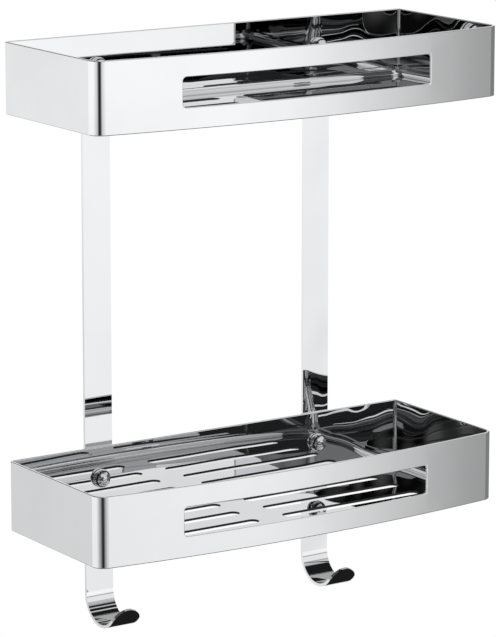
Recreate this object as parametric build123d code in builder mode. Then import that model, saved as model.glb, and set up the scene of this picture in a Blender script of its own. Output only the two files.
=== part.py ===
from build123d import *

import os
from math import cos, radians, sin, sqrt

# Two-tier wall-mounted shower caddy, in millimetres.
# The wall is the plane Y = 0, the object stands out of it towards -Y, +Z is up.
# The origin lies on the wall, midway between the two upper fixings.

# Baskets
basket_width = 300.0
side_depth = 108.0
front_bow = 10.0
band_height = 45.0
band_sheet = 1.8
front_corner_radius = 8.0
back_corner_radius = 3.4
rim_round = 0.6
window_length = 184.0
window_height = 18.6
window_corner = 2.5
window_round = 0.5

# Floor trays: a sheet with a bent-up lip, welded inside the band
floor_sheet = 1.5
floor_lip = 7.0
floor_bend = 4.0
floor_gap = 0.1
tray_back_radius = 6.2
slot_length = 106.5
slot_width = 8.6
slot_columns = 2
slot_rows = 4
slot_row_pitch = 22.4
slot_land = 19.2
first_slot_row = 27.0

# Straps with hooks
strap_width = 20.0
strap_thickness = 2.0
strap_top_radius = 4.0
hook_radius = 18.0
hook_sweep = 166.0
hook_drop = 114.2
hook_tip_radius = 10.4
hook_tip_reach = 6.0

# Fixings
tier_pitch = 265.0
fixing_spread = 168.0
rim_above_fixing = 20.4
strap_above_fixing = 14.0
pad_diameter = 36.0
pad_thickness = 1.0
plate_diameter = 34.0
plate_thickness = 3.0
plate_round = 1.0
stud_diameter = 6.0
stud_head_diameter = 14.0
stud_head_thickness = 1.4
stud_gap = 0.1
stud_tip_chamfer = 0.4
clearance_hole_diameter = 7.0
washer_diameter = 11.4
washer_thickness = 0.6
washer_bore_diameter = 6.8
nut_diameter = 12.0
nut_skirt = 0.7
nut_dome = 5.5
nut_groove_distance = 3.4
nut_groove_round = 0.35
nut_bore_diameter = 6.1
nut_bore_depth = 4.7
stud_end_gap = 0.3

# Distances out from the wall, layer by layer
plate_back = pad_thickness
strap_back = plate_back + plate_thickness
band_back = strap_back + strap_thickness
band_inside = band_back + band_sheet
washer_front = band_inside + washer_thickness
skirt_front = washer_front + nut_skirt
nut_front = skirt_front + nut_dome
bore_end = washer_front + nut_bore_depth
stud_tip = bore_end - stud_end_gap

# Heights
tiers = {"upper": 0.0, "lower": -tier_pitch}
sides = {"left": -fixing_spread / 2, "right": fixing_spread / 2}
hook_underside = tiers["lower"] + rim_above_fixing - hook_drop
hook_centre_z = hook_underside + hook_radius + strap_thickness / 2

# Circle of the bowed front, seen from above
half_width = basket_width / 2
bow_radius = (half_width**2 + front_bow**2) / (2 * front_bow)
bow_centre_y = bow_radius - band_back - side_depth - front_bow


def finish(piece, name):
    """Label a finished piece and write it out."""
    piece.part.label = name
    export_step(piece.part, f"parts/{name}.step")


def basket_outline(inset, front_radius, back_radius):
    """Plan of a basket, drawn a distance inside the band's outer face."""
    half = half_width - inset
    back_y = -band_back - inset
    arc_radius = bow_radius - inset
    side_end_y = bow_centre_y - sqrt(arc_radius**2 - half**2)
    with BuildSketch() as plan:
        with BuildLine():
            Line((half, side_end_y), (half, back_y))
            Line((half, back_y), (-half, back_y))
            Line((-half, back_y), (-half, side_end_y))
            ThreePointArc((-half, side_end_y), (0, bow_centre_y - arc_radius), (half, side_end_y))
        make_face()
        fillet(plan.vertices().group_by(Axis.Y)[0], front_radius)
        fillet(plan.vertices().group_by(Axis.Y)[-1], back_radius)
    return plan.sketch


def wall_plane(distance, x=0.0, z=0.0):
    """Plane facing out of the wall, with its origin a distance in front of it."""
    return Plane(origin=(x, -distance, z), x_dir=(1, 0, 0), z_dir=(0, -1, 0))


def make_band(tier, fixing_z):
    """Bent strip that forms the four walls of a basket, with a long window in its bowed front."""
    rim_z = fixing_z + rim_above_fixing
    bottom_z = rim_z - band_height
    inner_front = front_corner_radius - band_sheet
    inner_back = back_corner_radius - band_sheet
    with BuildPart() as band:
        with BuildSketch(Plane.XY.offset(bottom_z)):
            add(basket_outline(0, front_corner_radius, back_corner_radius))
            add(basket_outline(band_sheet, inner_front, inner_back), mode=Mode.SUBTRACT)
        extrude(amount=band_height)
        fillet(band.faces().sort_by(Axis.Z)[-1].edges(), rim_round)
        fillet(band.faces().sort_by(Axis.Z)[0].edges(), rim_round)
        window_z = bottom_z + band_height / 2
        with BuildSketch(wall_plane(band_back + side_depth / 2, z=window_z)):
            RectangleRounded(window_length, window_height, window_corner)
        extrude(amount=side_depth, mode=Mode.SUBTRACT)
        front_faces = band.faces().filter_by(GeomType.CYLINDER).sort_by(SortBy.AREA)[-2:]
        window_edges = [edge for face in front_faces for edge in face.inner_wires()[0].edges()]
        fillet(window_edges, window_round)
        with BuildSketch(wall_plane(band_back, z=fixing_z)):
            with Locations(*[(x, 0) for x in sides.values()]):
                Circle(clearance_hole_diameter / 2)
        extrude(amount=band_sheet, mode=Mode.SUBTRACT)
    finish(band, f"{tier}_band")


def make_floor(tier, fixing_z):
    """Slotted tray whose edge is bent up against the inside of the band."""
    underside_z = fixing_z + rim_above_fixing - band_height
    inset = band_sheet + floor_gap
    column_pitch = slot_length + slot_land
    middle_row = first_slot_row + (slot_rows - 1) * slot_row_pitch / 2
    with BuildPart() as tray:
        with BuildSketch(Plane.XY.offset(underside_z)):
            add(basket_outline(inset, front_corner_radius - inset, tray_back_radius))
        extrude(amount=floor_lip)
        fillet(tray.faces().sort_by(Axis.Z)[0].edges(), floor_bend + floor_sheet)
        offset(amount=-floor_sheet, openings=tray.faces().sort_by(Axis.Z)[-1])
        with BuildSketch(Plane.XY.offset(underside_z)):
            with Locations((0, -band_back - middle_row)):
                with GridLocations(column_pitch, slot_row_pitch, slot_columns, slot_rows):
                    SlotOverall(slot_length, slot_width)
        extrude(amount=floor_sheet, mode=Mode.SUBTRACT)
    finish(tray, f"{tier}_floor")


def hook_tip_plane(x):
    """Plane on the middle of the hook's tip, facing outwards, with its Y axis along the bar."""
    turn = radians(-hook_sweep)
    centre_y = -strap_back - strap_thickness / 2 - hook_radius
    tip = (x, centre_y + hook_radius * cos(turn), hook_centre_z + hook_radius * sin(turn))
    return Plane(origin=tip, x_dir=(1, 0, 0), z_dir=(0, cos(turn), sin(turn)))


def make_strap(side, x):
    """Flat bar behind the baskets, bent forwards at its lower end into a hook with a round tip."""
    front_y = -band_back
    back_y = -strap_back
    top_z = strap_above_fixing
    inner_radius = hook_radius - strap_thickness / 2
    outer_radius = hook_radius + strap_thickness / 2
    with BuildPart() as strap:
        with BuildSketch(Plane.YZ.offset(x - strap_width / 2)):
            with BuildLine():
                Polyline((front_y, hook_centre_z), (front_y, top_z), (back_y, top_z), (back_y, hook_centre_z))
                outer = JernArc((back_y, hook_centre_z), (0, -1), outer_radius, -hook_sweep)
                inner = JernArc((front_y, hook_centre_z), (0, -1), inner_radius, -hook_sweep)
                Line(outer @ 1, inner @ 1)
            make_face()
        extrude(amount=strap_width)
        with BuildSketch(hook_tip_plane(x)):
            Rectangle(2 * strap_width, hook_tip_radius, align=(Align.CENTER, Align.MAX))
            with Locations((0, -hook_tip_radius)):
                Circle(hook_tip_radius, mode=Mode.SUBTRACT)
        extrude(amount=hook_tip_reach, both=True, mode=Mode.SUBTRACT)
        top = strap.faces().sort_by(Axis.Z)[-1]
        fillet(top.edges().filter_by(Axis.Y), strap_top_radius)
        with BuildSketch(wall_plane(strap_back)):
            with Locations(*[(x, z) for z in tiers.values()]):
                Circle(clearance_hole_diameter / 2)
        extrude(amount=strap_thickness, mode=Mode.SUBTRACT)
    finish(strap, f"{side}_strap")


def make_pad(place, x, z):
    """Double-sided adhesive disc between the wall and the wall plate."""
    with BuildPart() as pad:
        with BuildSketch(wall_plane(0, x, z)):
            Circle(pad_diameter / 2)
        extrude(amount=pad_thickness)
    finish(pad, f"{place}_adhesive_pad")


def make_plate(place, x, z):
    """Moulded disc that holds the stud's head in a pocket at its back."""
    with BuildPart() as plate:
        with BuildSketch(wall_plane(plate_back, x, z)):
            Circle(plate_diameter / 2)
        extrude(amount=plate_thickness)
        fillet(plate.faces().sort_by(Axis.Y)[0].edges(), plate_round)
        with Locations(Plane(origin=(x, -plate_back, z), x_dir=(1, 0, 0), z_dir=(0, 1, 0))):
            CounterBoreHole(
                radius=stud_diameter / 2 + stud_gap,
                counter_bore_radius=stud_head_diameter / 2 + stud_gap,
                counter_bore_depth=stud_head_thickness,
            )
    finish(plate, f"{place}_wall_plate")


def make_stud(place, x, z):
    """Screw whose flat head sits in the wall plate and whose shank takes the nut."""
    with BuildPart() as stud:
        with BuildSketch(wall_plane(plate_back, x, z)):
            Circle(stud_head_diameter / 2)
        extrude(amount=stud_head_thickness)
        with BuildSketch(wall_plane(plate_back, x, z)):
            Circle(stud_diameter / 2)
        extrude(amount=stud_tip - plate_back)
        chamfer(stud.faces().sort_by(Axis.Y)[0].edges(), stud_tip_chamfer)
    finish(stud, f"{place}_stud")


def make_washer(place, x, z):
    """Thin dark washer between the dome nut and the back wall of the basket."""
    with BuildPart() as washer:
        with BuildSketch(wall_plane(band_inside, x, z)):
            Circle(washer_diameter / 2)
            Circle(washer_bore_diameter / 2, mode=Mode.SUBTRACT)
        extrude(amount=washer_thickness)
    finish(washer, f"{place}_washer")


def make_nut(place, x, z):
    """Dome nut: a short skirt and a round cap with a turned groove, bored blind for the stud."""
    section_plane = Plane(origin=(x, 0, z), x_dir=(1, 0, 0), z_dir=(0, 0, -1))
    axis = Axis((x, 0, z), (0, -1, 0))
    cap_radius = ((nut_diameter / 2) ** 2 + nut_dome**2) / (2 * nut_dome)
    cap_side = cap_radius * sqrt(0.5)
    groove_y = washer_front + nut_groove_distance
    groove_radius = sqrt(cap_radius**2 - (groove_y - nut_front + cap_radius) ** 2)
    with BuildPart() as nut:
        with BuildSketch(section_plane):
            with BuildLine():
                Polyline(
                    (0, nut_front),
                    (0, bore_end),
                    (nut_bore_diameter / 2, bore_end),
                    (nut_bore_diameter / 2, washer_front),
                    (nut_diameter / 2, washer_front),
                    (nut_diameter / 2, skirt_front),
                )
                ThreePointArc(
                    (nut_diameter / 2, skirt_front),
                    (cap_side, nut_front - cap_radius + cap_side),
                    (0, nut_front),
                )
            make_face()
        revolve(axis=axis)
        with BuildSketch(section_plane):
            with Locations((groove_radius, groove_y)):
                Circle(nut_groove_round)
        revolve(axis=axis, mode=Mode.SUBTRACT)
    finish(nut, f"{place}_dome_nut")


os.makedirs("parts", exist_ok=True)

for tier, fixing_z in tiers.items():
    make_band(tier, fixing_z)
    make_floor(tier, fixing_z)

for side, x in sides.items():
    make_strap(side, x)

for tier, z in tiers.items():
    for side, x in sides.items():
        place = f"{tier}_{side}"
        make_pad(place, x, z)
        make_plate(place, x, z)
        make_stud(place, x, z)
        make_washer(place, x, z)
        make_nut(place, x, z)
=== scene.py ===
# %% [markdown]
# # A two-tier chrome shower caddy
# The caddy is two bent-strip baskets on two flat bars, held to a wall by four dome nuts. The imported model
# gives every piece at its real size, in metres, with the wall at Y = 0 and the room towards -Y. This
# lesson dresses that frame: it sets up a camera and a studio, gives each metal, plastic and rubber its
# finish, and models the threaded studs.

# %% Load the frame
import math

import bpy
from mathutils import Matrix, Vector


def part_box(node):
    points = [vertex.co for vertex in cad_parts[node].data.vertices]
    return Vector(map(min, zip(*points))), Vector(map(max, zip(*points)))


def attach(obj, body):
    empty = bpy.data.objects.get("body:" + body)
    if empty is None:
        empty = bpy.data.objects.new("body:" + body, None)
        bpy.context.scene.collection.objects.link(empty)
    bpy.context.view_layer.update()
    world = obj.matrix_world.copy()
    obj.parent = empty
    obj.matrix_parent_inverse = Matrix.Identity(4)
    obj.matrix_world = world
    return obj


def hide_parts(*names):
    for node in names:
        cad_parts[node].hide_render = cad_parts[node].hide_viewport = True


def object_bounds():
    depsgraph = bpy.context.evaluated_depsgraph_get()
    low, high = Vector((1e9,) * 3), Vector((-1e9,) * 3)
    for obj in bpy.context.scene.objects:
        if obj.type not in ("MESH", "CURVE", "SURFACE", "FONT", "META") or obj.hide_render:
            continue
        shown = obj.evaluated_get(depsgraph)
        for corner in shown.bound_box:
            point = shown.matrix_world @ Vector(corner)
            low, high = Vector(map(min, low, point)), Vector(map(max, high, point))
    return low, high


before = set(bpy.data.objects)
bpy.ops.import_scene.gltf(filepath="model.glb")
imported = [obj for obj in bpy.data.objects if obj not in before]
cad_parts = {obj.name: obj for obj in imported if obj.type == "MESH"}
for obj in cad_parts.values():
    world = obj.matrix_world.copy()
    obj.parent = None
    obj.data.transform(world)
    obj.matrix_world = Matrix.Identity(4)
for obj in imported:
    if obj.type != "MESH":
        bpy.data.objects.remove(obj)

MM = 0.001
TIERS = ("upper", "lower")
SIDES = ("left", "right")
PLACES = [f"{tier}_{side}" for tier in TIERS for side in SIDES]

cad_low, cad_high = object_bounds()
print("CAD box", [round(v, 4) for v in cad_low], [round(v, 4) for v in cad_high])

# %% [markdown]
# ## Camera
# The picture was taken from the front left with a long lens, a little above the upper basket. Upright
# edges stay almost parallel in it, which a lens shift gives: the camera tilts down less and slides its
# frame down instead. The place, the angles and the focal length are fitted to the corners of the two
# baskets. A larger shift would fit them better, but it would push the caddy out of the frame when it is
# seen from other sides.

# %% Camera
FRAME_PIXELS = 637
SENSOR = 36.0
CAMERA_PLACE = (-1.1890, -1.8391, 0.30)


def add_camera(place, yaw, pitch, focal_pixels, shift):
    """A camera turned yaw degrees to the right of +Y and tilted by pitch degrees."""
    lens = bpy.data.cameras.new("camera")
    lens.sensor_width = SENSOR
    lens.lens = focal_pixels * SENSOR / FRAME_PIXELS
    lens.shift_y = shift
    camera = bpy.data.objects.new("camera", lens)
    bpy.context.scene.collection.objects.link(camera)
    camera.location = place
    camera.rotation_euler = (math.radians(90 + pitch), 0, math.radians(-yaw))
    bpy.context.scene.camera = camera
    return camera


camera = add_camera(CAMERA_PLACE, yaw=33.631, pitch=-10.747, focal_pixels=3453, shift=-0.135)
print("lens", round(camera.data.lens, 1), "mm")

# %% [markdown]
# ## Sockets as Python values
# Every finish below is a node tree. Wiring Math nodes by hand hides the formula, so a small class wraps
# an output socket: `1 - mask * 0.5` then adds the nodes by itself. All other nodes come from its one
# `node` method, which takes the node's type, its settings and the values or links of its inputs.


# %% The Wire class
class Wire:
    """An output socket of a node tree. Arithmetic on it adds Math nodes, and node() adds any other node."""

    def __init__(self, tree, socket=None):
        self.tree = tree
        self.socket = socket

    def node(self, kind, settings=None, inputs=None, output=0):
        """Add a node, first its settings, then the values or links of its inputs."""
        made = self.tree.nodes.new(kind)
        for name, value in (settings or {}).items():
            if name == "stops":
                set_stops(made.color_ramp.elements, value)
            else:
                setattr(made, name, value)
        for name, value in (inputs or {}).items():
            if isinstance(value, Wire):
                self.tree.links.new(value.socket, made.inputs[name])
            else:
                made.inputs[name].default_value = value
        return Wire(self.tree, made.outputs[output] if len(made.outputs) else None)

    def math(self, operation, *values):
        """A Math node on numbers and wires."""
        return self.node("ShaderNodeMath", {"operation": operation}, dict(enumerate(values)))

    def split(self):
        """The three numbers of a vector."""
        outputs = self.node("ShaderNodeSeparateXYZ", inputs={0: self}).socket.node.outputs
        return [Wire(self.tree, socket) for socket in outputs]

    def rise(self, start, end):
        """A smooth step from 0 at start to 1 at end."""
        limits = {"Value": self, "From Min": start, "From Max": end}
        return self.node("ShaderNodeMapRange", {"interpolation_type": "SMOOTHSTEP"}, limits)

    def fade(self, first, second):
        """A colour that goes from first to second as this value goes from 0 to 1."""
        return self.node("ShaderNodeMix", {"data_type": "RGBA"}, {0: self, 6: first, 7: second}, output=2)

    def __add__(self, other):
        return self.math("ADD", self, other)

    def __sub__(self, other):
        return self.math("SUBTRACT", self, other)

    def __mul__(self, other):
        return self.math("MULTIPLY", self, other)

    def __truediv__(self, other):
        return self.math("DIVIDE", self, other)

    __radd__ = __add__
    __rmul__ = __mul__

    def __rsub__(self, other):
        return self.math("SUBTRACT", other, self)


def set_stops(ramp, stops):
    """Give a colour ramp its stops, each a place and a colour."""
    while len(ramp) > 1:
        ramp.remove(ramp[-1])
    for index, (place, colour) in enumerate(stops):
        stop = ramp[0] if index == 0 else ramp.new(place)
        stop.position = place
        stop.color = colour


def grey(shade):
    """The colour that shows on a screen as this share of white."""
    light = ((shade + 0.055) / 1.055) ** 2.4 if shade > 0.04045 else shade / 12.92
    return (light, light, light, 1)


BLACK = (0, 0, 0, 1)
WHITE = (1, 1, 1, 1)
print("half grey is", round(grey(0.5)[0], 3), "of the light")

# %% [markdown]
# ## Studio
# Polished metal has no colour of its own. What it shows is the room, so the room is where its look is
# made. A studio for chrome has wide pale walls, a dimmer ceiling with a few soft boxes, and dark zones
# below and where the camera stands. The world holds that room: a ramp of shades by height, and over it
# panels, each a stretch of turns and heights. Turns count in degrees from straight in front, positive to
# the right.
#
# Two things here are choices of the picture and not of a real room. The camera itself sees white. And the
# room dims for light that has bounced several times, further than the metal would dim it, which keeps the
# baskets dark inside.


# %% World
def compass(degrees):
    """Place on a ramp of a direction, counted from the front, positive to the right."""
    return degrees / 360 + 0.5


def climb(degrees):
    """Place on a ramp of a height above the horizon."""
    return degrees / 180 + 0.5


# height above the horizon, shade
ROOM = (
    (-90, 0.05), (-72, 0.08), (-60, 0.12), (-48, 0.26), (-36, 0.62),
    (-24, 0.92), (-16, 0.95), (-8, 1.00), (-2, 1.00), (3, 0.34),
    (24, 0.34), (30, 0.30), (62, 0.34), (70, 0.90), (90, 0.90))

# name: (turn from, turn to, softness), (height from, height to, softness), shade
PANELS = {
    "right_wall": ((44, 138, 34), (-30, 1, 6), 0.50),
    "behind_wall": ((138, 172, 10), (-30, 1, 6), 0.66),
    "behind_left_low": ((-174, -146, 10), (-30, -10, 5), 0.84),
    "behind_left_high": ((-174, -146, 10), (-10, 1, 5), 0.92),
    "left_cove": ((-160, -80, 14), (1, 23, 5), 0.66),
    "front_softbox": ((6, 46, 10), (3, 23, 4), 0.92),
    "behind_softbox": ((134, 164, 8), (3, 24, 5), 0.94),
    "front_ceiling": ((-32, 44, 16), (25, 62, 6), 0.82),
    "right_ceiling": ((44, 106, 16), (25, 62, 6), 0.82),
    "behind_ceiling": ((106, 200, 16), (26, 62, 6), 0.66),
    "camera_shade": ((-74, 0, 50), (-22, -9, 5), 0.58),
    "camera_shade_high": ((-66, -8, 44), (-9, 1, 5), 0.72),
    "camera_side": ((-50, -20, 12), (-22, 23, 4), 0.33),
    "camera_stand": ((-40, -30, 8), (-22, 23, 4), 0.04),
    "camera_gap": ((-54, -16, 10), (3, 9, 4), 0.50),
}

# The room dims from the first number of bounces to the second, by the share
DIM_BOUNCES = (2.5, 7)
DIM_SHARE = 0.92


def studio_world():
    world = bpy.data.worlds.new("studio")
    bpy.context.scene.world = world
    world.use_nodes = True
    world.node_tree.nodes.clear()
    start = Wire(world.node_tree)
    x, y, z = start.node("ShaderNodeTexCoord", output="Generated").split()
    turn = start.math("ARCTAN2", x, 0 - y) / (2 * math.pi) + 0.5
    height = start.math("ARCSINE", z) / math.pi + 0.5

    def between(along, place, low, high, softness):
        half = softness / 2
        opening = along.rise(place(low - half), place(low + half))
        return opening * (1 - along.rise(place(high - half), place(high + half)))

    room = start.node("ShaderNodeValToRGB", {"stops": [(climb(d), grey(s)) for d, s in ROOM]}, {0: height})
    for turns, heights, shade in PANELS.values():
        inside = between(turn, compass, *turns) * between(height, climb, *heights)
        room = inside.fade(room, grey(shade))
    lost = start.node("ShaderNodeLightPath", output="Ray Depth").rise(*DIM_BOUNCES) * DIM_SHARE
    room = lost.fade(room, BLACK)
    seen = start.node("ShaderNodeLightPath", output="Is Camera Ray").fade(room, WHITE)
    background = start.node("ShaderNodeBackground", inputs={"Color": seen, "Strength": 1.0})
    start.node("ShaderNodeOutputWorld", inputs={"Surface": background})
    return world


print("world", studio_world().name)

# %% [markdown]
# The caddy hangs at about shoulder height, well above the floor. The floor glows by itself and takes no
# shadow. It is white to the camera and dark in the metal: the hooks mirror it, and it makes their tips
# nearly black. Seen from high above, the front walls mirror it too. Two large soft lamps light the matt
# pieces; they stay out of the mirror reflections, which the world already holds.

# %% Floor and lamps
FLOOR_DROP = 1.2
FLOOR_RADIUS = 1.4
FLOOR_CORNERS = 96
FLOOR_SHADE = 0.11
LAMPS = {"lamp_left": (-1.6, -1.8, 0.9), "lamp_behind": (0.9, 1.9, 0.8)}
LAMP_SIZE = 1.6
LAMP_POWER = 38


def deselect():
    if bpy.context.object and bpy.context.object.mode != "OBJECT":
        bpy.ops.object.mode_set(mode="OBJECT")
    bpy.ops.object.select_all(action="DESELECT")


def add_floor():
    deselect()
    bpy.ops.mesh.primitive_circle_add(
        vertices=FLOOR_CORNERS, radius=FLOOR_RADIUS, fill_type="NGON", location=(0, 0, -FLOOR_DROP))
    bpy.ops.object.transform_apply(location=True)
    floor = bpy.context.object
    floor.name = "stage_floor"
    material = bpy.data.materials.new("floor_paint")
    material.use_nodes = True
    tree = material.node_tree
    tree.nodes.clear()
    start = Wire(tree)
    shade = start.node("ShaderNodeLightPath", output="Is Camera Ray").fade(grey(FLOOR_SHADE), WHITE)
    shown = start.node("ShaderNodeEmission", inputs={"Color": shade, "Strength": 1.0})
    start.node("ShaderNodeOutputMaterial", inputs={"Surface": shown})
    floor.data.materials.append(material)
    return floor


def add_lamp(name, place):
    lamp = bpy.data.lights.new(name, "AREA")
    lamp.size = LAMP_SIZE
    lamp.energy = LAMP_POWER
    holder = bpy.data.objects.new(name, lamp)
    bpy.context.scene.collection.objects.link(holder)
    holder.location = place
    aim = (cad_low + cad_high) / 2
    holder.rotation_euler = (aim - Vector(place)).to_track_quat("-Z", "Y").to_euler()
    holder.visible_glossy = False
    return holder


floor = add_floor()
lamps = [add_lamp(name, place) for name, place in LAMPS.items()]
print(floor.name, FLOOR_DROP, "m below the upper fixings,", len(lamps), "lamps")

# %% [markdown]
# ## Polished steel
# Buffed and chromed sheet is a mirror, but not a perfect one. Rolling and bending leave it gently wavy
# over a few centimetres, which makes straight reflections swim, and the buffing wheel leaves a fine haze.
# A bump with long waves gives the first, a little uneven roughness the second. Towards the right end the
# waves are much higher, as on sheet that buckled a little when it was bent, and the lines there curl.


# %% Material helpers
def new_material(name):
    """An empty material, its first wire and its Object coordinates."""
    material = bpy.data.materials.new(name)
    material.use_nodes = True
    tree = material.node_tree
    tree.nodes.clear()
    start = Wire(tree)
    return material, start, start.node("ShaderNodeTexCoord", output="Object")


def noise(place, scale, detail=2.0, stretch=(1, 1, 1)):
    """A cloudy value round 0.5, scale clouds to the metre."""
    spread = place.node("ShaderNodeMapping", inputs={"Vector": place, "Scale": stretch})
    return place.node("ShaderNodeTexNoise", inputs={"Vector": spread, "Scale": scale, "Detail": detail})


def bump(start, height, distance=1.0, strength=1.0):
    """A normal that follows a height."""
    return start.node("ShaderNodeBump", inputs={
        "Height": height, "Distance": distance, "Strength": strength})


def close(start, **inputs):
    """End a material with a Principled shader."""
    sockets = {name.replace("_", " "): value for name, value in inputs.items()}
    shader = start.node("ShaderNodeBsdfPrincipled", inputs=sockets)
    start.node("ShaderNodeOutputMaterial", inputs={"Surface": shader})


def dress(material, *pieces):
    """Give pieces one material."""
    for piece in pieces:
        piece.data.materials.clear()
        piece.data.materials.append(material)


print("helpers ready")


# %% Polished steel
STEEL_TINT = (0.93, 0.935, 0.945, 1)
STEEL_TINT_DEEP = (0.91, 0.916, 0.926, 1)
TINT_SCALE = 30
CLOUD_EDGES = (0.35, 0.65)
POLISH = 0.006
HAZE = 0.012
HAZE_SCALE = 900
WAVE_HEIGHT = 0.12 * MM
WAVE_SCALE = 14
BUCKLE_HEIGHT = 1.2 * MM
BUCKLE_SCALE = 28
BUCKLE_ACROSS = (60 * MM, 120 * MM)
BUCKLE_FROM_FRONT = (-98 * MM, -64 * MM)


def buffed(place):
    """Tint and roughness that all polished pieces share."""
    tint = noise(place, TINT_SCALE).rise(*CLOUD_EDGES).fade(STEEL_TINT, STEEL_TINT_DEEP)
    haze = noise(place, HAZE_SCALE, detail=3.0)
    return tint, POLISH + HAZE * haze


def wavy(start, place):
    """Normal of sheet with long waves and a buckled right end."""
    waves = noise(place, WAVE_SCALE, detail=1.0)
    x, y, _ = place.split()
    buckle = x.rise(*BUCKLE_ACROSS) * y.rise(*BUCKLE_FROM_FRONT) * noise(place, BUCKLE_SCALE, detail=0.0)
    return bump(start, waves * WAVE_HEIGHT + buckle * BUCKLE_HEIGHT)


def polished_steel():
    material, start, place = new_material("mirror_chrome")
    tint, roughness = buffed(place)
    close(start, Base_Color=tint, Metallic=1.0, Roughness=roughness, Normal=wavy(start, place))
    return material


straps = [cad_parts[f"{side}_strap"] for side in SIDES]
dress(polished_steel(), *straps)
print("polished steel on", len(straps), "straps")

# %% [markdown]
# The long window is cut into the front of a finished band. Its edge is given a rough, less metallic finish
# and painted nearly white: a painted highlight for the pale line along the window's rounded edge. The edge
# is found by its place: it is what lies inside the window's box. At the right end, which faces the camera,
# part of the rounding counts as edge too, so the painted highlight is wider there. The lower edge looks up
# and is left polished: from the front it is thinner than a pixel, and a pale one breaks up into dots.


# %% Bands with a brushed window edge
def middle(name):
    low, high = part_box(name)
    return (low + high) / 2


WINDOW_HALF_LENGTH = 92.0 * MM
WINDOW_HALF_HEIGHT = 9.3 * MM
WINDOW_BACK = -100 * MM
EDGE_MARGIN = 0.08 * MM
EDGE_ROUND = 0.36 * MM
RIGHT_END = (WINDOW_HALF_LENGTH - 3 * MM, WINDOW_HALF_LENGTH - 2 * MM)
LOOKS_UP = 0.5
# painted highlight: the nearly white colour of the window's edge
EDGE_HIGHLIGHT_SHADE = grey(0.98)
EDGE_DULLING = 0.8
EDGE_ROUGHNESS = 0.35
window_heights = [middle(f"{tier}_band").z for tier in TIERS]
between_windows = sum(window_heights) / 2
half_pitch = (window_heights[0] - window_heights[1]) / 2


def windowed_steel():
    material, start, place = new_material("band_chrome")
    tint, roughness = buffed(place)
    x, y, z = place.split()
    above = start.math("ABSOLUTE", start.math("ABSOLUTE", z - between_windows) - half_pitch)
    across = start.math("ABSOLUTE", x)
    facing = start.node("ShaderNodeNewGeometry", output="Normal").split()[2]
    margin = EDGE_MARGIN + EDGE_ROUND * x.rise(*RIGHT_END)
    within_height = start.math("LESS_THAN", above, WINDOW_HALF_HEIGHT + margin)
    within_length = start.math("LESS_THAN", across, WINDOW_HALF_LENGTH + margin)
    within_depth = start.math("LESS_THAN", y, WINDOW_BACK)
    # where the painted highlight goes: the window's edge, wider at the right end
    highlight_edge = within_height * within_length * within_depth * start.math("LESS_THAN", facing, LOOKS_UP)
    close(start, Base_Color=highlight_edge.fade(tint, EDGE_HIGHLIGHT_SHADE), Metallic=1 - EDGE_DULLING * highlight_edge,
          Roughness=roughness + EDGE_ROUGHNESS * highlight_edge, Normal=wavy(start, place))
    return material


bands = [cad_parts[f"{tier}_band"] for tier in TIERS]
dress(windowed_steel(), *bands)
print("windowed steel on", len(bands), "bands, windows", round(2 * half_pitch / MM), "mm apart")

# %% [markdown]
# ## Slotted trays
# The trays are the same polished sheet, but their slots are punched. A punch leaves a torn, dull edge that
# the plating hardly reaches. The slot walls are painted near-black: partly that dull edge, partly painted
# shade for the dark inside of each slot, and it shows as a dark line along each slot. The edge is found by
# its direction: inside the field of slots, every face that doesn't look up or down is a cut.

# %% Slotted trays
SLOT_FIELD_SIDE = 119 * MM
SLOT_FIELD_BACK = -26 * MM
SLOT_FIELD_FRONT = -108 * MM
STEEP = (0.4, 0.7)
TORN_SCALE = 2500
# painted shade: the slot walls are near-black, a dull torn edge and the shade inside the slots
TORN_AND_SHADED_DARK = grey(0.06)
TORN_AND_SHADED_PALE = grey(0.2)
TORN_DULLING = 0.8
TORN_ROUGHNESS = 0.4


def slotted_steel():
    material, start, place = new_material("punched_chrome")
    tint, roughness = buffed(place)
    x, y, _ = place.split()
    facing = start.node("ShaderNodeNewGeometry", output="Normal").split()[2]
    upright = 1 - start.math("ABSOLUTE", facing).rise(*STEEP)
    across = start.math("LESS_THAN", start.math("ABSOLUTE", x), SLOT_FIELD_SIDE)
    along = start.math("LESS_THAN", y, SLOT_FIELD_BACK) * start.math("GREATER_THAN", y, SLOT_FIELD_FRONT)
    cut = upright * across * along
    # near-black slot walls: torn edge and painted shade
    torn_and_shaded = noise(place, TORN_SCALE).fade(TORN_AND_SHADED_DARK, TORN_AND_SHADED_PALE)
    close(start, Base_Color=cut.fade(tint, torn_and_shaded), Metallic=1 - TORN_DULLING * cut,
          Roughness=roughness + TORN_ROUGHNESS * cut, Normal=wavy(start, place))
    return material


trays = [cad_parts[f"{tier}_floor"] for tier in TIERS]
dress(slotted_steel(), *trays)
print("slotted steel on", len(trays), "trays")

# %% [markdown]
# ## Fixings
# Behind the polished metal sit the plain pieces: an adhesive pad on the wall, a moulded plate, a
# zinc-plated stud and a rubber washer under the nut. All of them are round, so their marks are rings.
# Folding the four fixings onto one gives every point its distance from its own axis, and one material
# then serves all four.

# %% Distance from a fixing
fixings = {place: middle(f"{place}_stud") for place in PLACES}
spread = fixings["upper_right"].x - fixings["upper_left"].x
pitch = fixings["upper_left"].z - fixings["lower_left"].z


def from_axis(start, place):
    """Distance of a point from the axis of the nearest fixing."""
    x, _, z = place.split()
    across = start.math("ABSOLUTE", x) - spread / 2
    above = start.math("ABSOLUTE", z + pitch / 2) - pitch / 2
    return start.math("SQRT", across * across + above * above)


def rings(start, distance, step):
    """A wave that rises and falls once in each step of a distance."""
    return start.math("SINE", distance * (2 * math.pi / step)) * 0.5 + 0.5


print("fixings", round(spread / MM), "mm apart across,", round(pitch / MM), "mm apart down")

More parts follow.
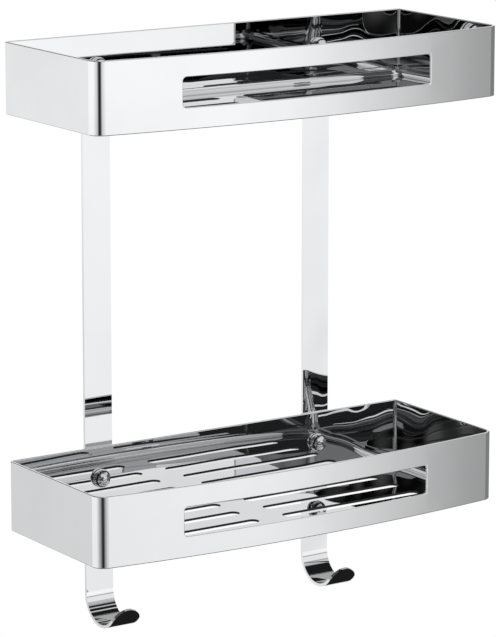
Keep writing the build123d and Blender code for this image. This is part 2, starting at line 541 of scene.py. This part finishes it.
# %% [markdown]
# The rubber has a fine grain, lathe rings and a rim that is rubbed pale. The plate is moulded: it shows
# faint flow marks, a grain and a few raised rings. The pad is a foam with small cells, blotchy, and grey
# at its rim.

# %% Rubber, plastic and adhesive
SKIN = 0.03 * MM
RUBBER_RING = 0.5 * MM
RUBBER_RIM = (5.2 * MM, 5.7 * MM)
PLATE_RING = 2.0 * MM
FOAM_CELLS = 1600.0
FOAM_DEPTH = 0.08 * MM
PAD_RIM = (16.5 * MM, 18 * MM)


def washer_rubber():
    material, start, place = new_material("black_rubber")
    distance = from_axis(start, place)
    grain = noise(place, scale=6000)
    paler_outward = distance.rise(*RUBBER_RIM) * noise(place, scale=700).rise(0.4, 0.6)
    height = rings(start, distance, RUBBER_RING) * 0.4 + grain
    close(start, Base_Color=paler_outward.fade(grey(0.17), grey(0.3)), Roughness=0.5 + 0.25 * grain,
          Normal=bump(start, height, SKIN))
    return material


def moulded_plate():
    material, start, place = new_material("satin_plastic")
    distance = from_axis(start, place)
    grain = noise(place, scale=4000, detail=3.0)
    flow = noise(place, scale=120, stretch=(1, 1, 3)).rise(0.4, 0.65)
    height = rings(start, distance, PLATE_RING).rise(0.85, 1.0) * 2 + grain
    close(start, Base_Color=flow.fade(grey(0.88), grey(0.84)), Roughness=0.38 + 0.16 * grain,
          Normal=bump(start, height, SKIN))
    return material


def adhesive():
    material, start, place = new_material("foam_adhesive")
    cells = start.node("ShaderNodeTexVoronoi", {"feature": "F1"}, {"Vector": place, "Scale": FOAM_CELLS},
                       output="Distance")
    blotches = noise(place, scale=160, detail=4.0).rise(*CLOUD_EDGES)
    worn = from_axis(start, place).rise(*PAD_RIM) * 0.6
    pale = blotches.fade(grey(0.86), grey(0.80))
    close(start, Base_Color=worn.fade(pale, grey(0.68)), Roughness=0.55 + 0.3 * cells,
          Normal=bump(start, cells, FOAM_DEPTH, strength=0.8))
    return material


FINISHES = {"washer": washer_rubber, "wall_plate": moulded_plate, "adhesive_pad": adhesive}
for piece, make in FINISHES.items():
    material = make()
    dress(material, *[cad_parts[f"{place}_{piece}"] for place in PLACES])
    print(material.name, "on", len(PLACES), "nodes")

# %% [markdown]
# The dome nuts are turned from bar. They are too small for waves, and a little less finely polished than
# the sheet, so that the many small things they mirror run together. The groove round each dome, and a
# little beside it, is painted near-black and matt: painted shade that makes the dark ring round the dome.

# %% Dome nuts
# painted shade: a near-black, matt ring in and beside the groove round each dome
GROOVE_DISTANCE = 3.4 * MM
GROOVE_SHADE_HALF_WIDTH = 0.50 * MM
GROOVE_SHADE_INNER_RADIUS = 4.0 * MM
GROOVE_PAINTED_SHADE = grey(0.03)
GROOVE_SHADE_ROUGHNESS = 0.5
NUT_HAZE = 0.10
nut_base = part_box("upper_left_dome_nut")[1].y


def nut_steel():
    material, start, place = new_material("nut_chrome")
    tint, roughness = buffed(place)
    along = start.math("ABSOLUTE", place.split()[1] - (nut_base - GROOVE_DISTANCE))
    outside = start.math("GREATER_THAN", from_axis(start, place), GROOVE_SHADE_INNER_RADIUS)
    # where the painted shade of the groove goes
    groove_shade = start.math("LESS_THAN", along, GROOVE_SHADE_HALF_WIDTH) * outside
    close(start, Base_Color=groove_shade.fade(tint, GROOVE_PAINTED_SHADE), Metallic=1 - groove_shade,
          Roughness=roughness + NUT_HAZE + GROOVE_SHADE_ROUGHNESS * groove_shade)
    return material


nuts = [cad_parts[f"{place}_dome_nut"] for place in PLACES]
dress(nut_steel(), *nuts)
print("nut steel on", len(nuts), "nuts")

# %% [markdown]
# ## Threaded studs
# The frame has each stud as a plain cylinder, which is enough to carry the nut. The real stud is a screw,
# and its thread shows as soon as a nut is unscrewed. One tooth of the thread is drawn as a short line of
# edges, and a Screw modifier turns it round the axis, one pitch further with each turn, so that every
# turn joins the last. A cut at both ends leaves a closed shank, and a rounded disc joins it as the head.

# %% One thread
THREAD_PITCH = 1.0 * MM
CREST_RADIUS = 2.98 * MM
ROOT_RADIUS = 2.42 * MM
CREST_FLAT = 0.12
FLANK = 0.34
TURN_STEPS = 32
HEAD_THICKNESS = 1.4 * MM
WELD = 0.001 * MM
CUT_WELD = 0.0001 * MM

stud_low, stud_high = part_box("upper_left_stud")
head_radius = (stud_high.x - stud_low.x) / 2
head_back = stud_high.y
stud_tip = stud_low.y


def edit():
    """Go into edit mode with every vertex selected."""
    bpy.ops.object.mode_set(mode="EDIT")
    bpy.ops.mesh.select_mode(type="VERT")
    bpy.ops.mesh.select_all(action="SELECT")


def add_tooth(first_y):
    """One tooth of the thread as a line of edges, from root to root."""
    deselect()
    bpy.ops.mesh.primitive_plane_add(size=MM, location=(ROOT_RADIUS, first_y, 0))
    bpy.ops.object.transform_apply(location=True)
    edit()
    bpy.ops.mesh.merge(type="CENTER")
    depth = CREST_RADIUS - ROOT_RADIUS
    for along, out in ((FLANK, depth), (CREST_FLAT, 0), (FLANK, -depth), (1 - CREST_FLAT - 2 * FLANK, 0)):
        step = (out, -along * THREAD_PITCH, 0)
        bpy.ops.mesh.extrude_region_move(TRANSFORM_OT_translate={"value": step})
    bpy.ops.object.mode_set(mode="OBJECT")
    return bpy.context.object


def wind(tooth, turns):
    """Turn the tooth into a thread, right-handed towards the tip."""
    screw = tooth.modifiers.new("thread", "SCREW")
    screw.axis = "Y"
    screw.angle = -2 * math.pi
    screw.screw_offset = -THREAD_PITCH
    screw.iterations = turns
    screw.steps = TURN_STEPS
    screw.render_steps = TURN_STEPS
    screw.use_merge_vertices = True
    screw.merge_threshold = WELD
    bpy.ops.object.modifier_apply(modifier=screw.name)


def trim(y, towards):
    """Cut the mesh square to its axis and close the cut."""
    edit()
    bpy.ops.mesh.bisect(plane_co=(0, y, 0), plane_no=(0, towards, 0), use_fill=True, clear_outer=True,
                        threshold=CUT_WELD)
    bpy.ops.object.mode_set(mode="OBJECT")


def model_stud():
    turns = math.ceil((head_back - stud_tip) / THREAD_PITCH) + 2
    tooth = add_tooth(head_back + THREAD_PITCH)
    wind(tooth, turns)
    edit()
    bpy.ops.mesh.remove_doubles(threshold=WELD)
    bpy.ops.mesh.normals_make_consistent(inside=False)
    bpy.ops.object.mode_set(mode="OBJECT")
    trim(head_back - HEAD_THICKNESS / 2, 1)
    trim(stud_tip, -1)
    return tooth


stud = model_stud()
reach = [vertex.co.y / MM for vertex in stud.data.vertices]
print("shank of", len(stud.data.polygons), "faces,", round(max(reach) - min(reach), 2), "mm long")

# %% [markdown]
# The head is a disc with a rounded rim. It is joined to the shank, and the finished stud is copied to the
# four fixings. Each copy has its own mesh, placed by applying its location, so that its finish stays with
# it.

# %% Head and copies
HEAD_CORNERS = 64
HEAD_ROUND = 0.35 * MM
SMOOTH_ANGLE = 40


def add_head():
    deselect()
    bpy.ops.mesh.primitive_cylinder_add(
        vertices=HEAD_CORNERS, radius=head_radius, depth=HEAD_THICKNESS,
        location=(0, head_back - HEAD_THICKNESS / 2, 0), rotation=(math.radians(90), 0, 0))
    bpy.ops.object.transform_apply(location=True, rotation=True)
    head = bpy.context.object
    soften = head.modifiers.new("rim", "BEVEL")
    soften.width = HEAD_ROUND
    soften.segments = 3
    soften.limit_method = "ANGLE"
    bpy.ops.object.modifier_apply(modifier=soften.name)
    return head


def join(*pieces):
    """Join pieces into the first one."""
    deselect()
    for piece in pieces:
        piece.select_set(True)
    bpy.context.view_layer.objects.active = pieces[0]
    bpy.ops.object.join()
    return pieces[0]


def copy_to(pattern, name, place):
    """A copy with its own mesh, its place in its mesh."""
    deselect()
    pattern.select_set(True)
    bpy.context.view_layer.objects.active = pattern
    bpy.ops.object.duplicate()
    copy = bpy.context.object
    copy.name = name
    copy.location = (place.x, 0, place.z)
    bpy.ops.object.transform_apply(location=True)
    return copy


stud = join(stud, add_head())
bpy.ops.object.shade_smooth_by_angle(angle=math.radians(SMOOTH_ANGLE))
studs = {place: copy_to(stud, f"{place}_threaded_stud", spot) for place, spot in fixings.items()}
bpy.data.objects.remove(stud)
for place, piece in studs.items():
    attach(piece, "caddy")
    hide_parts(f"{place}_stud")
print("threaded studs", [piece.name for piece in studs.values()])

# %% [markdown]
# Zinc plate is bluish and a little cloudy, brighter towards the thread's crests and darker towards its
# roots.

# %% Zinc plate
ZINC_BRIGHT = (0.60, 0.62, 0.66, 1)
ZINC_CLOUDY = (0.52, 0.53, 0.55, 1)
# the colour of the thread's roots, darker than at its crests
ZINC_ROOT_DARK = (0.16, 0.155, 0.15, 1)
ZINC_GRAIN = 0.01 * MM


def zinc_plate():
    material, start, place = new_material("zinc_plate")
    paler_outward = from_axis(start, place).rise(ROOT_RADIUS, CREST_RADIUS)
    clouds = noise(place, scale=350, detail=4.0).rise(0.3, 0.7)
    grain = noise(place, scale=5000)
    plated = clouds.fade(ZINC_BRIGHT, ZINC_CLOUDY)
    close(start, Base_Color=paler_outward.fade(ZINC_ROOT_DARK, plated), Metallic=1.0,
          Roughness=0.46 - 0.2 * paler_outward + 0.1 * grain, Normal=bump(start, grain, ZINC_GRAIN))
    return material


dress(zinc_plate(), *studs.values())
print("zinc plate on", len(studs), "studs")

# %% [markdown]
# ## Colour view
# The picture is shown without a film curve.

# %% Colour view
bpy.context.scene.view_settings.view_transform = "Standard"
